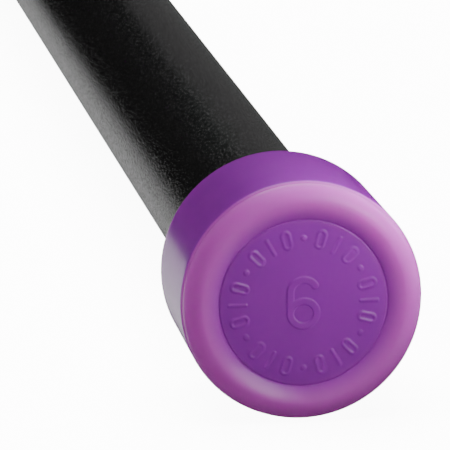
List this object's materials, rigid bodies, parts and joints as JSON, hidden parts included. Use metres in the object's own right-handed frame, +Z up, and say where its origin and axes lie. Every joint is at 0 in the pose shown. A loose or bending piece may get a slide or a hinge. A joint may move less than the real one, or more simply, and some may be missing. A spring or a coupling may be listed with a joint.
{
  "type": "weighted exercise bar",
  "caption": "Straight foam-covered weighted exercise bar with a solid steel core and a soft purple moulded cap with a rounded rim on each end.",
  "frame": {"origin": "middle of the bar's length, on the surface it lies on, straight under its axis", "axes": "+X along the bar towards the right end cap, +Z up, so each cap's numeral is upright"},
  "size_m": [1.2192, 0.047, 0.047],
  "materials": {
    "steel": "plain cold-drawn bar, dull",
    "black_foam": "closed-cell foam with a fine matt grain",
    "purple_vinyl": "soft translucent moulded vinyl, satin"
  },
  "bodies": {
    "root": {"steel_core": "steel", "foam_sleeve": "black_foam", "right_end_cap": "purple_vinyl", "left_end_cap": "purple_vinyl"}
  },
  "joints": []
}
